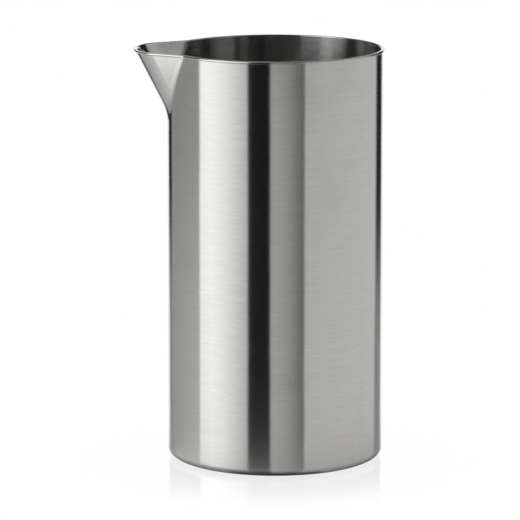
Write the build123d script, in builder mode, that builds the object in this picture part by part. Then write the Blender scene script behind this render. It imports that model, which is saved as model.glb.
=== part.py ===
"""Straight-sided steel bar mixing jug with a welded pouring spout. Millimetres, +Z up.

The origin is the middle of the standing face, on the tube's axis. The spout points along -X.
The jug is a rolled tube, a pressed base pan and a folded spout of the same sheet, joined edge
to edge by two welds that are dressed flush on both faces.
"""
from build123d import *
from math import hypot, radians, sqrt, tan
import os

# Vessel
body_diameter = 84.0  # outside of the tube
jug_height = 161.0  # standing face to the top of the rim
wall = 1.0  # sheet of the tube, the pan's upstand and the spout
base_thickness = 1.2
corner_radius = 3.0  # outside, where the base turns up
pan_height = 9.0  # standing face to the base weld

# Rim bead
bead_proud = 0.5  # stands out from the wall
bead_height = 1.0
bead_bevel = 0.35

# Spout, measured on its level section at the rim
spout_reach = 12.7  # tip beyond the tube's outside
spout_depth = 25.0  # rim to the point where the keel line meets the tube
nose_radius = 30.0
nose_half_width = 14.8  # axis to the corner where the nose would meet a side
shoulder_radius = 10.0  # rounds that corner
side_angle = 29.0  # between a side and the spout's axis, in degrees
taper_height = 95.0  # the section shrinks evenly and would vanish this far below the rim
blend_radius = 10.0  # outside, where the spout runs into the tube

# Welds
weld_width = 1.2
seam_land = 4.5  # from the spout's root, and from its keel's foot, to the weld
seam_corner_radius = 10.0

# Worked out from the sizes above
outer_radius = body_diameter / 2
inner_radius = outer_radius - wall
keel_slope = spout_reach / spout_depth
side_slope = tan(radians(side_angle))
level_wall = wall * sqrt(1 + keel_slope**2)  # the sloping spout's wall, measured level
foot_margin = 4.0  # the spout's form runs this far below its keel's foot
overrun = 6.0  # the forms stand this far above the rim until they are cut level


def nose_corner(depth):
    """Point (x, half width) where nose and side would meet, at a depth below the rim."""
    shrink = 1 - depth / taper_height
    radius = nose_radius * shrink
    half_width = nose_half_width * shrink
    tip = keel_slope * depth - outer_radius - spout_reach
    return tip + radius - sqrt(radius**2 - half_width**2), half_width


def spout_root():
    """Half width at which the spout's sides would cut the tube's outside, at the rim."""
    corner_x, half_width = nose_corner(0)
    intercept = half_width - side_slope * corner_x
    square = 1 + side_slope**2
    root_x = -intercept * side_slope - sqrt(square * outer_radius**2 - intercept**2)
    return intercept + side_slope * root_x / square


def spout_section(depth, inset):
    """Level section of the spout at a depth below the rim, inset from its outside."""
    shrink = 1 - depth / taper_height
    tip = keel_slope * depth - outer_radius - spout_reach
    corner_x, half_width = nose_corner(depth)
    back_x = -outer_radius / 2
    back_half_width = half_width + side_slope * (back_x - corner_x)
    with BuildSketch(Plane.XY.offset(jug_height - depth)) as section:
        with BuildLine():
            nose = ThreePointArc((corner_x, -half_width), (tip, 0), (corner_x, half_width))
            side = Line(nose @ 1, (back_x, back_half_width))
            back = Line(side @ 1, (back_x, -back_half_width))
            Line(back @ 1, nose @ 0)
        make_face()
        fillet(section.vertices().group_by(Axis.X)[0], shoulder_radius * shrink)
        if inset:
            offset(amount=-inset)
    return section.sketch


def jug_form(radius, floor, edge_radius, inset, blend):
    """Solid of a tube with the spout run into it, cut level at the rim."""
    with BuildPart() as form:
        with BuildSketch(Plane.XY.offset(floor)):
            Circle(radius)
        extrude(amount=jug_height + overrun - floor)
        before = form.edges()
        top_section = spout_section(-overrun, inset)
        foot_section = spout_section(spout_depth + foot_margin, inset)
        loft(sections=[top_section, foot_section], ruled=True)
        roots = []
        for edge in form.edges() - before:
            middle = edge @ 0.5
            on_tube = abs(hypot(middle.X, middle.Y) - radius) < 0.01
            if on_tube and middle.X < -radius / 2 and middle.Z < jug_height + overrun / 2:
                roots.append(edge)
        fillet(roots, blend)
        fillet(form.edges().group_by(Axis.Z)[0], edge_radius)
        split(bisect_by=Plane.XY.offset(jug_height), keep=Keep.BOTTOM)
    return form.part


def seam_outline(growth):
    """Front view of the notch that the spout closes, grown by a margin."""
    foot_depth = spout_depth + seam_land
    foot_half_width = nose_corner(spout_depth)[1] + seam_land
    rim_half_width = spout_root() + seam_land
    top_half_width = rim_half_width + (rim_half_width - foot_half_width) * overrun / foot_depth
    foot_z = jug_height - foot_depth
    top_z = jug_height + overrun
    with BuildSketch(Plane.YZ) as outline:
        with BuildLine():
            Polyline(
                (-top_half_width, top_z),
                (-foot_half_width, foot_z),
                (foot_half_width, foot_z),
                (top_half_width, top_z),
                close=True,
            )
        make_face()
        fillet(outline.vertices().group_by(Axis.Y)[0], seam_corner_radius)
        if growth:
            offset(amount=growth)
    return outline.sketch


outside = jug_form(outer_radius, 0, corner_radius, 0, blend_radius)
inside = jug_form(inner_radius, base_thickness, corner_radius - wall, level_wall, blend_radius + wall)
bead_outside = jug_form(
    outer_radius + bead_proud, 0, corner_radius, -bead_proud, blend_radius - bead_proud
)
below_bead = split(outside, bisect_by=Plane.XY.offset(jug_height - bead_height / 2), keep=Keep.BOTTOM)

# The whole sheet in one, before it is parted along the welds
with BuildPart() as skin:
    add(bead_outside)
    split(bisect_by=Plane.XY.offset(jug_height - bead_height), keep=Keep.TOP)
    chamfer(skin.edges().group_by(Axis.Z)[-1], bead_bevel)
    chamfer(skin.edges().group_by(Axis.Z)[0], bead_bevel)
    add(below_bead)
    add(inside, mode=Mode.SUBTRACT)
    lip = skin.faces().filter_by(GeomType.PLANE).sort_by(Axis.Z)[-1]
    chamfer(lip.inner_wires()[0].edges(), bead_bevel)

spout_seam = seam_outline(0)
tube_seam = seam_outline(weld_width)
notch_run = -(outer_radius + spout_reach + overrun)
pan_edge = Plane.XY.offset(pan_height)
tube_foot = Plane.XY.offset(pan_height + weld_width)

# Pressed base with its turned-up edge
with BuildPart() as base_pan:
    add(skin.part)
    split(bisect_by=pan_edge, keep=Keep.BOTTOM)

# Ring weld between the pan and the tube
with BuildPart() as base_weld:
    add(skin.part)
    split(bisect_by=pan_edge, keep=Keep.TOP)
    split(bisect_by=tube_foot, keep=Keep.BOTTOM)

# Rolled tube with its bead, notched for the spout
with BuildPart() as body_tube:
    add(skin.part)
    split(bisect_by=tube_foot, keep=Keep.TOP)
    extrude(tube_seam, amount=notch_run, mode=Mode.SUBTRACT)

# Weld down both sides of the notch and round its foot
with BuildPart() as spout_weld:
    add(skin.part)
    extrude(tube_seam, amount=notch_run, mode=Mode.INTERSECT)
    extrude(spout_seam, amount=notch_run, mode=Mode.SUBTRACT)

# Folded spout with its own stretch of bead
with BuildPart() as spout:
    add(skin.part)
    extrude(spout_seam, amount=notch_run, mode=Mode.INTERSECT)

os.makedirs("parts", exist_ok=True)
pieces = {
    "base_pan": base_pan,
    "base_weld": base_weld,
    "body_tube": body_tube,
    "spout_weld": spout_weld,
    "spout": spout,
}
for name, piece in pieces.items():
    piece.part.label = name
    export_step(piece.part, f"parts/{name}.step")
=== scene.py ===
"""Looks, light and camera of the straight-sided steel bar mixing jug.

Metres, +Z up, the spout along -X, the origin in the middle of the standing face.

The jug is sheet metal, so every piece is an outer and an inner skin joined round their edges.
"""

import bpy
import numpy as np
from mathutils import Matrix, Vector


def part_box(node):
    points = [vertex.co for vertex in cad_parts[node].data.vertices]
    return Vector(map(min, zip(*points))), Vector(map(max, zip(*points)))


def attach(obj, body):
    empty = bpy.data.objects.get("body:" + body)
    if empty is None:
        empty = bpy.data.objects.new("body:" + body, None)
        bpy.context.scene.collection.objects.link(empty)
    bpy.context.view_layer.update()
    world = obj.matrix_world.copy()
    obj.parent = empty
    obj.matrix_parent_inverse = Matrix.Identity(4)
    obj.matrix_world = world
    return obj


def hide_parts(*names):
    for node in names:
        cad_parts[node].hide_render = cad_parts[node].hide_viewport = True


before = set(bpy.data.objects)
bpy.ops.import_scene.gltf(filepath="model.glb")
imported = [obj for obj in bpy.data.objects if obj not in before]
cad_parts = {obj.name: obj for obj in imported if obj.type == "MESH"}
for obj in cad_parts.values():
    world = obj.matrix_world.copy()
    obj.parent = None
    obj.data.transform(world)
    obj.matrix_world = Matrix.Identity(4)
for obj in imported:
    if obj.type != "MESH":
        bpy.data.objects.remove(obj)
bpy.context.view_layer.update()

# Read from the fixed frame
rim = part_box("spout")[1].z
tube_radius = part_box("base_pan")[1].x
pan_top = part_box("base_pan")[1].z
tube_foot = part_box("body_tube")[0].z
seam_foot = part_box("spout")[0].z

# Sheet and base
wall = 0.001
base_thickness = 0.0012
corner_radius = 0.003  # outside, where the base turns up
inner_radius = tube_radius - wall

# Rim bead: half round outside, eased inside
bead_proud = 0.00048
bead_height = 0.001
lip_round = 0.00035
bead_foot = rim - bead_height

# Spout, measured on its level section at the rim
spout_reach = 0.0127
spout_depth = 0.025
keel_slope = spout_reach / spout_depth
level_wall = wall * np.hypot(1, keel_slope)
nose_radius = 0.030
nose_half_width = 0.0148
shoulder_radius = 0.015
side_angle = np.radians(29)
taper_height = 0.095
side_bulge = 0.8  # how much less the sides close in at the rim than at the keel's foot
kink_blend = 0.0010  # softening where a side leaves the tube at the rim
foot_blend = 0.0021  # softening where the keel runs into the tube

# Spout seam
weld_width = 0.0012
seam_land = 0.0045
seam_corner_radius = 0.010
foot_shrink = 1 - spout_depth / taper_height
foot_half_width = nose_half_width * foot_shrink + seam_land
rim_half_width = 0.0283
seam_slant = np.arctan((rim_half_width - foot_half_width) / (rim - seam_foot))
level_foot = foot_half_width - seam_corner_radius * np.tan(np.pi / 4 - seam_slant / 2)

# Mesh: rows through the bead, as angles round its half circle, and columns
bead_turn = np.radians(np.linspace(-90, 90, 13))
ring_columns = 384
rim_columns = 480
spout_columns = 161
spout_crowding = 1.2  # draws the spout's columns together towards its seams
bead_end_step = 0.0003  # radians from the notch's corner to the tube's first full bead column

# Brushed steel
brushing_fineness = 9000.0  # cells of noise per metre up the wall
brushing_run = 240.0  # cells of noise per metre along the lines
brushing_depth = 0.00002
brushing_relief = 0.15
wave_depth = 0.00008

# Studio: angles in degrees from the camera's side, negative to the left, and heights
wall_reach = 1.5
wall_foot = -3.0
wall_top = 2.2
left_card_start = -144
left_box_start = -87
left_box_end = -29
dark_flag_end = -5.2
front_card_end = 31
right_card_end = 134
edge_card_end = 157
card_edge = 0.7
backdrop_edge = 2
card_top = 0.15
backdrop_top = 0.42
mirror_top = -0.5  # below this the steel sees the studio mirrored in the table
overhead_glow = 0.25
table_drop = 0.0003  # how far the table light lies below the standing face
table_glow = 0.46
table_veil = 0.62
table_veil_reach = 0.032
stray_light = 0.03

# Floor, as the camera sees it
gloss_start = 0.040
gloss_end = 0.095
gloss_share = 0.20
gloss_roughness = 0.08

# Camera
camera_place = (0.0, -1.41343, 0.34327)
camera_aim = (-0.00592, 0.0, 0.07728)
camera_lens = 254.0


def thick_sheet(name, outside, inside, closed=False, pole=False):
    """A closed piece from two skins of rows x columns points, rows going up the wall.

    Columns run anticlockwise seen from above, so corner order (i, j), (i, j+1), (i+1, j+1),
    (i+1, j) faces outwards; the inner skin takes the opposite order. Joining strips close the
    top row, the foot row unless it is a pole, and the two ends unless the columns close.
    """
    rows, columns = outside.shape[:2]
    number = np.arange(2 * rows * columns).reshape(2, rows, columns)
    if closed:
        number = np.concatenate([number, number[:, :, :1]], axis=2)
    if pole:
        number[:, 0] = number[:, 0, :1]
    out, inn = number
    patches = [out, inn[:, ::-1], np.stack([out[-1], inn[-1]])]
    if not pole:
        patches.append(np.stack([inn[0], out[0]]))
    if not closed:
        patches.append(np.stack([inn[:, 0], out[:, 0]], axis=1))
        patches.append(np.stack([out[:, -1], inn[:, -1]], axis=1))
    faces = []
    for patch in patches:
        corners = [patch[:-1, :-1], patch[:-1, 1:], patch[1:, 1:], patch[1:, :-1]]
        faces.append(np.stack(corners, axis=-1).reshape(-1, 4))
    faces = np.concatenate(faces)
    points = np.concatenate([outside.reshape(-1, 3), inside.reshape(-1, 3)])
    used, faces = np.unique(faces, return_inverse=True)
    return new_piece(name, points[used], faces.reshape(-1, 4))


def new_piece(name, points, quads):
    """A smooth-shaded mesh object; a quad with two corners in one place becomes a triangle."""
    pinched = quads[:, 0] == quads[:, 1]
    pinched_top = quads[:, 2] == quads[:, 3]
    whole = quads[~pinched & ~pinched_top].tolist()
    triangles = quads[pinched][:, 1:].tolist() + quads[pinched_top][:, :3].tolist()
    mesh = bpy.data.meshes.new(name)
    mesh.from_pydata(points.tolist(), [], whole + triangles)
    mesh.update()
    mesh.shade_smooth()
    mesh.set_sharp_from_angle(angle=np.radians(40))
    piece = bpy.data.objects.new(name, mesh)
    bpy.context.scene.collection.objects.link(piece)
    return piece


def bead_rows():
    """Heights and outward swell through the rim stretch, for the outer and the inner skin.

    Outside: height = foot + h/2 (1 + sin t), swell = proud cos t. Inside: straight up to the
    easing, then height = rim - e (1 - sin t), swell = e (1 - cos t).
    """
    outer_height = bead_foot + bead_height / 2 * (1 + np.sin(bead_turn))
    outer_swell = bead_proud * np.cos(bead_turn)
    easing = np.clip(bead_turn, 0, None)
    straight = bead_foot + (bead_height - lip_round) * np.clip(1 + bead_turn * 2 / np.pi, 0, 1)
    inner_height = straight + lip_round * np.sin(easing)
    inner_swell = lip_round * (1 - np.cos(easing))
    return outer_height, outer_swell, inner_height, inner_swell


def seam_edge(growth):
    """One half of the notch's edge below the bead: distance from the middle plane, and height.

    Round the corner it is centre + (radius + growth)(cos t, sin t), then straight to the bead.
    """
    turn = np.linspace(-np.pi / 2, -seam_slant, 17)
    radius = seam_corner_radius + growth
    across = level_foot + radius * np.cos(turn)
    height = seam_foot + seam_corner_radius + radius * np.sin(turn)
    share = np.linspace(0, 1, 25)[1:]
    rise = (bead_foot - height[-1]) * share
    across = np.append(across, across[-1] + rise * np.tan(seam_slant))
    return across, np.append(height, height[-1] + rise)


def around(radius, azimuth, height):
    """Points at radius (cos a, sin a) and a height; all three may be arrays."""
    parts = np.broadcast_arrays(radius * np.cos(azimuth), radius * np.sin(azimuth), height)
    return np.stack(parts, axis=-1)


def revolved(name, outer_profile, inner_profile, pole=False):
    """Two (radius, height) profiles turned about the axis: (r cos a, r sin a, z)."""
    azimuth = np.linspace(0, 2 * np.pi, ring_columns, endpoint=False)[None, :]
    skins = [around(p[0][:, None], azimuth, p[1][:, None]) for p in (outer_profile, inner_profile)]
    return thick_sheet(name, *skins, closed=True, pole=pole)


def pan_profile(radius, floor, corner):
    """Flat floor from the axis, a quarter turn of the corner radius, then straight up."""
    flat = np.linspace(0, radius - corner, 25)
    turn = np.linspace(0, np.pi / 2, 13)[1:]
    upright = np.linspace(floor + corner, pan_top, 6)[1:]
    out = np.concatenate([flat, radius - corner + corner * np.sin(turn), 0 * upright + radius])
    up = np.concatenate([0 * flat + floor, floor + corner * (1 - np.cos(turn)), upright])
    return out, up


def make_base_pan():
    """The pressed base with its turned-up edge."""
    outer = pan_profile(tube_radius, 0.0, corner_radius)
    inner = pan_profile(inner_radius, base_thickness, corner_radius - wall)
    return revolved("base_pan_steel", outer, inner, pole=True)


def make_base_weld():
    """The ring weld between pan and tube, dressed flush."""
    height = np.linspace(pan_top, tube_foot, 7)
    outer = (np.full(7, tube_radius), height)
    inner = (np.full(7, inner_radius), height)
    return revolved("base_weld_ring", outer, inner)


def make_body_tube():
    """The rolled tube: columns follow the notch's edge, then go round the rest of the rim.

    A column's rows share out the height from foot to top edge. The last ones go through the
    bead, or through half its height, with no swell, where the notch cuts the rim away. A plain
    column at each end of the bead makes its end face square.
    """
    across, height = seam_edge(weld_width)
    foot = np.linspace(-1, 1, 17)[1:-1] * level_foot
    notch_across = np.concatenate([across[::-1], -foot, -across])
    notch_top = np.concatenate([height[::-1], 0 * foot + height[0], height])
    notch_azimuth = np.pi - np.arcsin(notch_across / tube_radius)
    corner = np.arcsin(across[-1] / tube_radius)
    step = np.array([bead_end_step, -bead_end_step])
    ends = np.array([np.pi + corner, 3 * np.pi - corner])
    first, last = ends + step
    bead_azimuth = np.linspace(first, last, rim_columns)
    ends = ends + step / 2
    rim_azimuth = np.concatenate([ends[:1], bead_azimuth, ends[1:]])
    azimuth = np.concatenate([notch_azimuth, rim_azimuth])
    swollen = np.concatenate([0 * notch_azimuth, [0], 0 * bead_azimuth + 1, [0]])
    top_share = np.concatenate([0 * notch_azimuth + 0.5, 0 * rim_azimuth + 1])
    top = np.concatenate([notch_top - 0.5 * bead_height, 0 * rim_azimuth + bead_foot])
    share = np.linspace(0, 1, 25)[:, None]
    wall_height = tube_foot + (top - tube_foot) * share
    outer_height, outer_swell, inner_height, inner_swell = bead_rows()
    skins = []
    for radius, rise, swell in (
        (tube_radius, outer_height - bead_foot, outer_swell),
        (inner_radius, inner_height - bead_foot, inner_swell),
    ):
        bead_z = top + rise[1:, None] * top_share
        skin_radius = radius + swell[1:, None] * swollen
        low = around(radius, azimuth[None, :], wall_height)
        high = around(skin_radius, azimuth[None, :], bead_z)
        skins.append(np.concatenate([low, high]))
    return thick_sheet("body_tube_sheet", *skins, closed=True)


def make_spout_weld():
    """The weld strip round the notch, with its two stretches of bead."""
    outer_height, outer_swell, inner_height, inner_swell = bead_rows()
    growths = weld_width * np.linspace(1, 0, 5)
    foot = np.linspace(1, -1, 17)[1:-1] * level_foot
    skins = []
    for radius, bead_z, swell in (
        (tube_radius, outer_height, outer_swell),
        (inner_radius, inner_height, inner_swell),
    ):
        rows = []
        for growth in growths:
            across, height = seam_edge(growth)
            across = np.append(across, 0 * bead_z[1:] + across[-1])
            height = np.append(height, bead_z[1:])
            out = radius + np.append(0 * across[: -len(swell) + 1], swell[1:])
            path_across = np.concatenate([across[::-1], foot, -across])
            path_height = np.concatenate([height[::-1], 0 * foot + height[0], height])
            path_radius = np.concatenate([out[::-1], 0 * foot + radius, out])
            azimuth = np.pi - np.arcsin(path_across / tube_radius)
            rows.append(around(path_radius, azimuth, path_height))
        skins.append(np.array(rows))
    return thick_sheet("spout_weld_strip", *skins)


def folded_front(across, inset):
    """x of the spout's level section with its tip at 0: nose arc, shoulder arc, straight side.

    The shoulder's centre is the point a shoulder radius inside the side's line and
    nose radius - shoulder radius from the nose's centre; an inset moves all three inwards.
    """
    nose = np.array([nose_radius, 0.0])
    corner = np.array([nose_radius - np.sqrt(nose_radius**2 - nose_half_width**2), nose_half_width])
    along = np.array([np.cos(side_angle), np.sin(side_angle)])
    outward = np.array([-along[1], along[0]])
    start = corner - shoulder_radius * outward - nose
    run = start @ along
    reach = run**2 - start @ start + (nose_radius - shoulder_radius) ** 2
    centre = nose + start + (-run - np.sqrt(reach)) * along
    to_centre = (centre - nose) / np.hypot(*(centre - nose))
    nose_end = (nose + (nose_radius - inset)[..., None] * to_centre)[..., 1]
    side_start = (centre + (shoulder_radius - inset)[..., None] * outward)[..., 1]
    away = np.abs(across)
    nose_x = nose_radius - np.sqrt((nose_radius - inset) ** 2 - np.minimum(away, nose_end) ** 2)
    off = np.clip(away, nose_end, side_start) - centre[1]
    shoulder_x = centre[0] - np.sqrt((shoulder_radius - inset) ** 2 - off**2)
    side_x = corner[0] + (away - corner[1] + inset / along[0]) / np.tan(side_angle)
    return np.where(away < nose_end, nose_x, np.where(away < side_start, shoulder_x, side_x))


def soft_least(a, b, reach):
    """The lesser of a and b, rounded where they cross: min - max(reach - |a - b|, 0)^2 / 4 reach."""
    near = np.maximum(reach - np.abs(a - b), 0)
    return np.minimum(a, b) - near**2 / (4 * reach)


def spout_skin(across, height, radius, inset, extra_blend):
    """x of one skin of the sheet that closes the notch.

    It is the tube's -sqrt(r^2 - y^2) blended with the spout, whose section shrinks below the rim
    while its tip runs back by the keel's slope.
    """
    depth = rim - height
    share = depth / spout_depth
    shrink = 1 - depth / taper_height * (1 - side_bulge * (1 - share))
    tip = keel_slope * depth - tube_radius - spout_reach
    front = tip + shrink * folded_front(across / shrink, inset / shrink)
    tube = -np.sqrt(radius**2 - across**2)
    blend = kink_blend + (foot_blend - kink_blend) * np.clip(depth / spout_depth, 0, 1)
    return soft_least(front, tube, blend * (1 + extra_blend))


def make_spout():
    """The folded spout over y = half width(z) t, t from 1 to -1, with its stretch of bead.

    The bead swells along the level normal of each row.
    """
    across, height = seam_edge(0)
    outer_height, outer_swell, inner_height, inner_swell = bead_rows()
    spread = np.linspace(1, -1, spout_columns) * spout_crowding
    share = np.sin(spread) / np.sin(spout_crowding)
    half = np.append(across, 0 * bead_turn[1:] + across[-1])[:, None]
    below = 0 * height
    skins = []
    for radius, inset, extra, bead_z, swell in (
        (tube_radius, 0.0, 0.0, outer_height, outer_swell),
        (inner_radius, level_wall, 0.15, inner_height, inner_swell),
    ):
        y = half * share * radius / tube_radius
        z = np.append(height, bead_z[1:])[:, None] + 0 * y
        x = spout_skin(y, z, radius, np.full_like(y, inset), extra)
        run_x = np.gradient(x, axis=1)
        run_y = np.gradient(y, axis=1)
        out = np.append(below, swell[1:])[:, None] / np.hypot(run_x, run_y)
        skins.append(np.stack([x + out * run_y, y - out * run_x, z], axis=-1))
    return thick_sheet("spout_sheet", *skins)


class Nodes:
    """Short hands for laying out a node tree."""

    def __init__(self, tree):
        self.tree = tree

    def add(self, kind, **settings):
        """A new node with its settings."""
        node = self.tree.nodes.new(kind)
        for key, value in settings.items():
            setattr(node, key, value)
        return node

    def put(self, socket, value):
        """Links an output to a socket, or sets the socket's own value."""
        if isinstance(value, bpy.types.NodeSocket):
            self.tree.links.new(value, socket)
        else:
            socket.default_value = value

    def math(self, operation, *values):
        """One Math node; returns its output."""
        node = self.add("ShaderNodeMath", operation=operation)
        for socket, value in zip(node.inputs, values):
            self.put(socket, value)
        return node.outputs[0]

    def vector(self, operation, *values):
        """One Vector Math node; returns its vector output."""
        node = self.add("ShaderNodeVectorMath", operation=operation)
        for socket, value in zip(node.inputs, values):
            self.put(socket, value)
        return node.outputs[0]

    def ramp(self, value, low, high, bottom=0.0, top=1.0):
        """value from low..high brought smoothly to bottom..top."""
        node = self.add("ShaderNodeMapRange", interpolation_type="SMOOTHSTEP")
        for socket, part in zip(node.inputs, (value, low, high, bottom, top)):
            self.put(socket, part)
        return node.outputs[0]

    def noise(self, vector, scale, detail=2.0, roughness=0.5):
        """A noise texture's value."""
        node = self.add("ShaderNodeTexNoise")
        for name, value in (
            ("Vector", vector),
            ("Scale", scale),
            ("Detail", detail),
            ("Roughness", roughness),
        ):
            self.put(node.inputs[name], value)
        return node.outputs["Fac"]


def new_group(name, inputs, outputs):
    """A shader node group with named float or vector inputs and outputs."""
    tree = bpy.data.node_groups.new(name, "ShaderNodeTree")
    for label, kind, value in inputs:
        socket = tree.interface.new_socket(label, in_out="INPUT", socket_type=kind)
        socket.default_value = value
    for label, kind in outputs:
        tree.interface.new_socket(label, in_out="OUTPUT", socket_type=kind)
    nodes = Nodes(tree)
    start = nodes.add("NodeGroupInput").outputs
    end = nodes.add("NodeGroupOutput").inputs
    return nodes, start, end


def brushing_group():
    """Fine lines round the jug: noise of (run x, run y, fineness (z + r)).

    They go level round the walls and in rings on the base. Streaks are the same, only broader.
    """
    nodes, start, end = new_group(
        "Level brushing",
        [
            ("Fineness", "NodeSocketFloat", brushing_fineness),
            ("Run", "NodeSocketFloat", brushing_run),
        ],
        [("Lines", "NodeSocketFloat"), ("Streaks", "NodeSocketFloat")],
    )
    place = nodes.add("ShaderNodeTexCoord").outputs["Object"]
    flat = nodes.vector("MULTIPLY", place, (1, 1, 0))
    radius = nodes.add("ShaderNodeVectorMath", operation="LENGTH")
    nodes.put(radius.inputs[0], flat)
    split = nodes.add("ShaderNodeSeparateXYZ")
    nodes.put(split.inputs[0], place)
    climb = nodes.math("ADD", split.outputs["Z"], radius.outputs["Value"])
    fine = nodes.add("ShaderNodeCombineXYZ")
    nodes.put(fine.inputs[0], nodes.math("MULTIPLY", split.outputs["X"], start["Run"]))
    nodes.put(fine.inputs[1], nodes.math("MULTIPLY", split.outputs["Y"], start["Run"]))
    nodes.put(fine.inputs[2], nodes.math("MULTIPLY", climb, start["Fineness"]))
    broad = nodes.vector("MULTIPLY", fine.outputs[0], (0.45, 0.45, 0.19))
    nodes.put(end["Lines"], nodes.noise(fine.outputs[0], 1.0, 3.0, 0.65))
    nodes.put(end["Streaks"], nodes.noise(broad, 1.0, 2.0, 0.5))
    return nodes.tree


def handling_group():
    """Faint smudges, and short crossing scratches from use."""
    nodes, start, end = new_group(
        "Handling marks",
        [("Size", "NodeSocketFloat", 45.0)],
        [
            ("Smudges", "NodeSocketFloat"),
            ("Scratches", "NodeSocketFloat"),
            ("Waves", "NodeSocketFloat"),
        ],
    )
    place = nodes.add("ShaderNodeTexCoord").outputs["Object"]
    cloud = nodes.noise(place, start["Size"], 4.0, 0.6)
    nodes.put(end["Smudges"], nodes.ramp(cloud, 0.5, 0.78))
    nodes.put(end["Waves"], nodes.noise(place, 38.0, 1.0))
    marks = []
    for turn in ((0.5, 0.3, 0.9), (-0.7, 0.4, -0.6)):
        mapping = nodes.add("ShaderNodeMapping")
        nodes.put(mapping.inputs["Vector"], place)
        mapping.inputs["Rotation"].default_value = turn
        mapping.inputs["Scale"].default_value = (60, 2600, 700)
        marks.append(nodes.ramp(nodes.noise(mapping.outputs[0], 1.0, 1.0), 0.735, 0.80))
    nodes.put(end["Scratches"], nodes.math("MAXIMUM", *marks))
    return nodes.tree


def edge_group():
    """How far an edge at a height is worn: 1 on it, fading over a reach, broken up by noise."""
    nodes, start, end = new_group(
        "Edge wear",
        [("Height", "NodeSocketFloat", 0.0), ("Reach", "NodeSocketFloat", 0.002)],
        [("Worn", "NodeSocketFloat")],
    )
    place = nodes.add("ShaderNodeTexCoord").outputs["Object"]
    split = nodes.add("ShaderNodeSeparateXYZ")
    nodes.put(split.inputs[0], place)
    off = nodes.math("ABSOLUTE", nodes.math("SUBTRACT", split.outputs["Z"], start["Height"]))
    share = nodes.math("DIVIDE", off, start["Reach"])
    patches = nodes.noise(place, 260.0, 3.0, 0.6)
    ragged = nodes.math("ADD", share, nodes.math("MULTIPLY", patches, 1.4))
    nodes.put(end["Worn"], nodes.ramp(ragged, 0.6, 1.5, 1.0, 0.0))
    return nodes.tree


def steel_tone(nodes, tint, brushing, handling, edge):
    """Colour: the tint, varied line by line, paler on a worn edge and darker under smudges."""
    tone = nodes.ramp(brushing.outputs["Streaks"], 0.25, 0.75, 0.975, 1.025)
    lines = nodes.ramp(brushing.outputs["Lines"], 0.2, 0.8, 0.975, 1.025)
    tone = nodes.math("MULTIPLY", tone, lines)
    worn = nodes.ramp(edge.outputs["Worn"], 0.0, 1.0, 1.0, 1.06)
    tone = nodes.math("MULTIPLY", tone, worn)
    smudged = nodes.ramp(handling.outputs["Smudges"], 0.0, 1.0, 1.0, 0.96)
    tone = nodes.math("MULTIPLY", tone, smudged)
    colour = nodes.add("ShaderNodeVectorMath", operation="SCALE")
    colour.inputs[0].default_value = tint
    nodes.put(colour.inputs["Scale"], tone)
    return colour.outputs[0]


def steel_roughness(nodes, roughness, brushing, handling, edge):
    """Roughness: more on raised lines and under smudges, less on a worn edge."""
    rough = nodes.ramp(brushing.outputs["Lines"], 0.2, 0.8, roughness - 0.03, roughness + 0.03)
    smudged = nodes.math("MULTIPLY", handling.outputs["Smudges"], 0.02)
    worn = nodes.math("MULTIPLY", edge.outputs["Worn"], 0.05)
    return nodes.math("SUBTRACT", nodes.math("ADD", rough, smudged), worn)


def steel_normal(nodes, brushing, handling):
    """Normal: slow waves of the rolled sheet, then brushing lines cut by scratches."""
    ripple = nodes.add("ShaderNodeBump")
    ripple.inputs["Strength"].default_value = 1.0
    ripple.inputs["Distance"].default_value = wave_depth
    nodes.put(ripple.inputs["Height"], handling.outputs["Waves"])
    relief = nodes.add("ShaderNodeBump")
    relief.inputs["Strength"].default_value = brushing_relief
    relief.inputs["Distance"].default_value = brushing_depth
    cut = nodes.math("MULTIPLY", handling.outputs["Scratches"], -0.8)
    nodes.put(relief.inputs["Height"], nodes.math("ADD", brushing.outputs["Lines"], cut))
    nodes.put(relief.inputs["Normal"], ripple.outputs["Normal"])
    return relief.outputs["Normal"]


def steel_tangent(nodes):
    """The way in which the gloss is wide: up the walls, and outwards on the base."""
    place = nodes.add("ShaderNodeTexCoord").outputs["Object"]
    outward = nodes.vector("MULTIPLY", place, (1.2, 1.2, 0))
    return nodes.vector("ADD", outward, (0, 0, 1))


def brushed_steel(name, tint, roughness, worn_height, worn_reach):
    """Brushed stainless: the gloss spreads across the brushing lines and stays tight along them."""
    material = bpy.data.materials.new(name)
    material.use_nodes = True
    nodes = Nodes(material.node_tree)
    material.node_tree.nodes.clear()
    parts = []
    for tree in (groups["brushing"], groups["handling"], groups["edge"]):
        node = nodes.add("ShaderNodeGroup")
        node.node_tree = tree
        parts.append(node)
    brushing, handling, edge = parts
    edge.inputs["Height"].default_value = worn_height
    edge.inputs["Reach"].default_value = worn_reach
    shader = nodes.add("ShaderNodeBsdfPrincipled")
    shader.inputs["Metallic"].default_value = 1.0
    shader.inputs["Anisotropic"].default_value = 1.0
    nodes.put(shader.inputs["Tangent"], steel_tangent(nodes))
    nodes.put(shader.inputs["Base Color"], steel_tone(nodes, tint, brushing, handling, edge))
    rough = steel_roughness(nodes, roughness, brushing, handling, edge)
    nodes.put(shader.inputs["Roughness"], rough)
    nodes.put(shader.inputs["Normal"], steel_normal(nodes, brushing, handling))
    output = nodes.add("ShaderNodeOutputMaterial")
    nodes.put(output.inputs["Surface"], shader.outputs["BSDF"])
    return material


def tube_steel():
    """The tube: level brushing, burnished at the rim."""
    return brushed_steel("tube_steel", (0.62, 0.615, 0.605), 0.17, rim, 0.0015)


def pan_steel():
    """The base: brushed level round its side and in rings below, burnished where it stands."""
    return brushed_steel("pan_steel", (0.615, 0.61, 0.60), 0.175, 0.0, 0.0022)


def spout_steel():
    """The spout: the tube's brushing, a shade paler."""
    return brushed_steel("spout_steel", (0.63, 0.625, 0.615), 0.17, rim, 0.0015)


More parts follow.
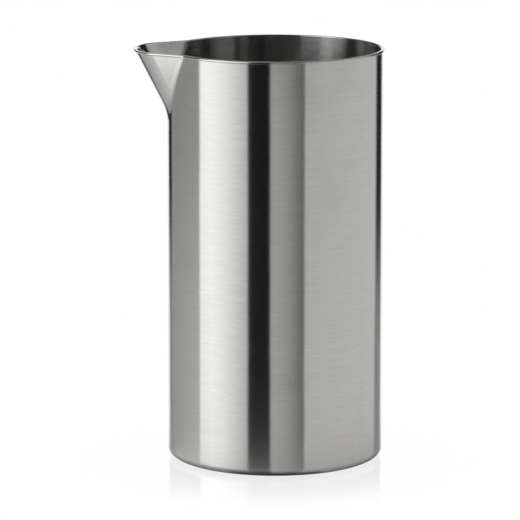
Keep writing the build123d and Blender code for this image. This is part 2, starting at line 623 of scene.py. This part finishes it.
def weld_steel():
    """The welds: ground flush and brushed over with the sheet, a shade darker than the tube."""
    return brushed_steel("weld_steel", (0.615, 0.61, 0.60), 0.175, rim, 0.0012)


def glowing(name):
    """A surface that gives light by its own glow attribute; reflections alone see it."""
    material = bpy.data.materials.new(name)
    material.use_nodes = True
    material.node_tree.nodes.clear()
    nodes = Nodes(material.node_tree)
    light = nodes.add("ShaderNodeEmission")
    attribute = nodes.add("ShaderNodeAttribute", attribute_name="glow")
    nodes.put(light.inputs["Color"], attribute.outputs["Color"])
    light.inputs["Strength"].default_value = 1.0
    output = nodes.add("ShaderNodeOutputMaterial")
    nodes.put(output.inputs["Surface"], light.outputs[0])
    material.cycles.emission_sampling = "NONE"
    return material


def stage_grid(name, points, glow, material):
    """A staged light surface from rows x columns points with a glow at each."""
    rows, columns = points.shape[:2]
    number = np.arange(rows * columns).reshape(rows, columns)
    corners = [number[:-1, :-1], number[:-1, 1:], number[1:, 1:], number[1:, :-1]]
    faces = np.stack(corners, axis=-1).reshape(-1, 4)
    mesh = bpy.data.meshes.new(name)
    mesh.from_pydata(points.reshape(-1, 3).tolist(), [], faces.tolist())
    colours = np.ones((rows * columns, 4), np.float32)
    colours[:, :3] = glow.reshape(-1, 1)
    layer = mesh.attributes.new("glow", "FLOAT_COLOR", "POINT")
    layer.data.foreach_set("color", colours.ravel())
    mesh.materials.append(material)
    item = bpy.data.objects.new(name, mesh)
    bpy.context.scene.collection.objects.link(item)
    item.visible_camera = False
    item.visible_shadow = False
    return item


def band(angle, start, end, edge):
    """1 between two angles, falling off over an edge on both sides."""
    rise = np.clip((angle - start) / edge + 0.5, 0, 1)
    fall = np.clip((end - angle) / edge + 0.5, 0, 1)
    return rise * fall


def left_softbox(angle):
    """The main softbox: brightest at its left end, falling off to the right from -74 degrees."""
    fall = np.clip((angle + 74) / 44, 0, 1) ** 1.3
    return band(angle, left_box_start, left_box_end, card_edge) * (1.42 - 0.75 * fall)


def dark_flag(angle):
    """Black cloth between the softbox and the front card."""
    return band(angle, left_box_end, dark_flag_end, card_edge) * 0.015


def front_card(angle):
    """A grey card in front, darker towards its right."""
    fall = np.clip((angle + 4) / 34, 0, 1) ** 1.8
    return band(angle, dark_flag_end, front_card_end, card_edge) * (0.57 - 0.40 * fall)


def right_card(angle):
    """A pale, nearly even card down the right."""
    rise = np.clip((angle - front_card_end) / 50, 0, 1)
    return band(angle, front_card_end, right_card_end, card_edge) * (0.69 + 0.03 * rise)


def left_card(angle):
    """A grey card beyond the softbox, paler towards it."""
    rise = np.clip((angle - left_card_start) / 56, 0, 1)
    return band(angle, left_card_start, left_box_start, card_edge) * (0.42 + 0.20 * rise)


def edge_cards(angle):
    """Darker cards on both sides of the backdrop."""
    right = band(angle, right_card_end, edge_card_end, backdrop_edge)
    left = band(angle, -edge_card_end, left_card_start, backdrop_edge)
    return 0.32 * (right + left)


def backdrop(angle, height):
    """The white backdrop behind the jug, dark above its top edge and dimmer far down."""
    across = band(np.abs(angle), edge_card_end, 200, backdrop_edge)
    above = 1 - 0.98 * np.clip((height - backdrop_top) / 0.06, 0, 1)
    return across * above * (0.4 + 0.6 * np.clip((height + 1.2) / 0.4, 0, 1))


def high_softbox(angle, height):
    """A second softbox, high on the right, dimmer at its front end."""
    rise = np.clip((angle - 45) / 13, 0, 1)
    across = band(angle, front_card_end, 131, 8) * (0.42 + 0.33 * rise)
    return across * band(height, 0.72, 1.7, 0.2)


def studio(angle, height):
    """How bright the studio wall is at an angle and a height.

    The cards end at about the rim's height. The left softbox goes on upwards, brighter there,
    while its image in the table sinks away and is rounded off at its far end, beside a slightly
    paler image of the left card.
    """
    mirrored = height < mirror_top
    sinking = np.clip((height + 1.04) / 0.14, 0, 1) * np.clip((angle + 84) / 12, 0, 1)
    softbox = left_softbox(angle) * np.where(mirrored, 0.36 + 0.64 * sinking, 1.0)
    softbox = softbox * (1 + 0.35 * np.clip((height - 0.20) / 0.25, 0, 1))
    cards = dark_flag(angle) + front_card(angle) + right_card(angle) + edge_cards(angle)
    cards = cards + left_card(angle) * np.where(mirrored, 1.15, 1.0)
    cards = cards * (1 - 0.98 * np.clip((height - card_top) / 0.07, 0, 1))
    return softbox + cards + backdrop(angle, height) + high_softbox(angle, height)


def wall_points(reach, angle, height):
    """Points of an upright round wall at angles from the camera's side and heights."""
    turn = np.radians(angle)
    parts = np.broadcast_arrays(reach * np.sin(turn), -reach * np.cos(turn), height)
    return np.stack(parts, axis=-1)


def light_wall():
    """A round studio wall as far out as the camera, going on below the polished table."""
    angle = np.linspace(-180, 180, 721)[None, :]
    height = np.linspace(wall_foot, wall_top, 79)[:, None]
    points = wall_points(wall_reach, angle, height)
    return stage_grid("light_wall", points, studio(angle, height), glowing("wall_light"))


def overhead_light():
    """A soft round light over the whole set, for the jug's inside and the rim's top."""
    radius = np.linspace(0.02, wall_reach, 9)[:, None]
    turn = np.linspace(0, 2 * np.pi, 49)[None, :]
    points = around(radius, turn, wall_top)
    glow = overhead_glow + 0 * points[..., 0]
    return stage_grid("overhead", points, glow, glowing("overhead_light"))


def near_card(name, reach, angles, heights, shade, cover, soft):
    """A card close to the jug, which hides what lies behind it by its cover.

    Reach is its distance from the axis, shade its own glow. It fades out over the soft height at
    its foot and over one degree at each side.
    """
    start, end = angles
    foot, top = heights
    angle = np.linspace(start, end, 13)[None, :]
    height = np.linspace(foot, top, 25)[:, None]
    points = wall_points(reach, angle, height)
    side = np.minimum(angle - start, end - angle)
    veil = cover * np.clip((height - foot) / soft, 0, 1) * np.clip(side, 0, 1)
    item = stage_grid(name, points, shade + 0 * points[..., 0], veiled(name))
    set_veil(item, veil)


def set_veil(item, veil):
    """How much of what lies behind a staged surface is hidden, point by point."""
    layer = item.data.attributes.new("veil", "FLOAT", "POINT")
    layer.data.foreach_set("value", veil.ravel().astype(np.float32))


def table_light():
    """The table as the steel sees it: a pale veil near the jug, over the mirrored studio.

    It is dark where the jug stands, paler below the left softbox and darker on the right.
    """
    radius = (0.036 + 0.5 * np.linspace(0, 1, 41) ** 2)[:, None]
    away = np.clip(radius - tube_radius, 0, None)
    angle = np.linspace(-180, 180, 97)[None, :]
    left = 0.40 * band(angle, left_box_start, left_box_end, 20)
    right = 0.10 * band(angle, front_card_end, right_card_end, 20)
    glow = (table_glow + left - right) * np.clip((away + 0.0006) / 0.006, 0, 1)
    veil = table_veil * np.exp(-away / table_veil_reach) + 0 * angle
    points = wall_points(radius, angle, -table_drop)
    item = stage_grid("table_light", points, glow, veiled("table_glow"))
    set_veil(item, veil)


def veiled(name):
    """A glow that lets through what its veil attribute leaves open."""
    material = glowing(name)
    nodes = Nodes(material.node_tree)
    tree = material.node_tree.nodes
    attribute = nodes.add("ShaderNodeAttribute", attribute_name="veil")
    clear = nodes.add("ShaderNodeBsdfTransparent")
    mix = nodes.add("ShaderNodeMixShader")
    nodes.put(mix.inputs[0], attribute.outputs["Fac"])
    nodes.put(mix.inputs[1], clear.outputs[0])
    nodes.put(mix.inputs[2], tree["Emission"].outputs[0])
    nodes.put(tree["Material Output"].inputs["Surface"], mix.outputs[0])
    return material


def floor_material():
    """White, with a gloss that shows the jug's foot and dies out away from it."""
    material = bpy.data.materials.new("pale_floor")
    material.use_nodes = True
    material.node_tree.nodes.clear()
    nodes = Nodes(material.node_tree)
    place = nodes.add("ShaderNodeTexCoord").outputs["Object"]
    distance = nodes.add("ShaderNodeVectorMath", operation="LENGTH")
    nodes.put(distance.inputs[0], place)
    share = nodes.ramp(distance.outputs["Value"], gloss_start, gloss_end, gloss_share, 0.0)
    white = nodes.add("ShaderNodeEmission")
    white.inputs["Strength"].default_value = 1.0
    gloss = nodes.add("ShaderNodeBsdfGlossy")
    gloss.inputs["Color"].default_value = (1, 1, 1, 1)
    gloss.inputs["Roughness"].default_value = gloss_roughness
    mix = nodes.add("ShaderNodeMixShader")
    nodes.put(mix.inputs[0], share)
    nodes.put(mix.inputs[1], white.outputs[0])
    nodes.put(mix.inputs[2], gloss.outputs[0])
    output = nodes.add("ShaderNodeOutputMaterial")
    nodes.put(output.inputs["Surface"], mix.outputs[0])
    material.cycles.emission_sampling = "NONE"
    return material


def make_floor():
    """A wide pale floor that the steel itself does not see; the table light stands for it."""
    side = np.linspace(-8, 8, 3)
    x, y = np.meshgrid(side, side)
    points = np.stack([x, y, 0 * x], axis=-1)
    item = stage_grid("floor", points, 0 * x, floor_material())
    item.visible_camera = True
    item.visible_glossy = False
    return item


def make_world():
    """White behind the jug; reflections that pass the studio wall find it dim."""
    world = bpy.data.worlds.new("studio")
    bpy.context.scene.world = world
    world.use_nodes = True
    world.node_tree.nodes.clear()
    nodes = Nodes(world.node_tree)
    path = nodes.add("ShaderNodeLightPath")
    strength = nodes.ramp(path.outputs["Is Camera Ray"], 0.0, 1.0, stray_light, 1.0)
    back = nodes.add("ShaderNodeBackground")
    back.inputs["Color"].default_value = (1, 1, 1, 1)
    nodes.put(back.inputs["Strength"], strength)
    output = nodes.add("ShaderNodeOutputWorld")
    nodes.put(output.inputs["Surface"], back.outputs[0])


def make_camera():
    """A long lens a little above the jug, with the spout to the left."""
    data = bpy.data.cameras.new("camera")
    data.lens = camera_lens
    data.sensor_width = 36.0
    data.clip_end = 50.0
    camera = bpy.data.objects.new("camera", data)
    bpy.context.scene.collection.objects.link(camera)
    camera.location = camera_place
    aim = Vector(camera_aim) - camera.location
    camera.rotation_mode = "QUATERNION"
    camera.rotation_quaternion = aim.to_track_quat("-Z", "Y")
    bpy.context.scene.camera = camera


groups = {"brushing": brushing_group(), "handling": handling_group(), "edge": edge_group()}
finishes = {
    "tube_steel": tube_steel(),
    "pan_steel": pan_steel(),
    "spout_steel": spout_steel(),
    "weld_steel": weld_steel(),
}
for make, node, finish in (
    (make_base_pan, "base_pan", "pan_steel"),
    (make_base_weld, "base_weld", "weld_steel"),
    (make_body_tube, "body_tube", "tube_steel"),
    (make_spout_weld, "spout_weld", "weld_steel"),
    (make_spout, "spout", "spout_steel"),
):
    piece = make()
    piece.data.materials.append(finishes[finish])
    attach(piece, "root")
    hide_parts(node)

make_floor()
light_wall()
table_light()
overhead_light()
for name, reach, angles, heights, shade, cover, soft in (
    ("right_flag", 0.29, (130, 149), (0.0, 0.6), 0.02, 1.0, 0.05),
    ("left_flag", 0.29, (-152, -137), (0.01, 0.20), 0.02, 1.0, 0.05),
    ("left_shade", 0.30, (-143, -80), (0.0, 0.6), 0.24, 0.55, 0.10),
):
    near_card(name, reach, angles, heights, shade, cover, soft)
make_world()
make_camera()
bpy.context.scene.view_settings.view_transform = "Standard"
bpy.context.scene.view_settings.look = "None"
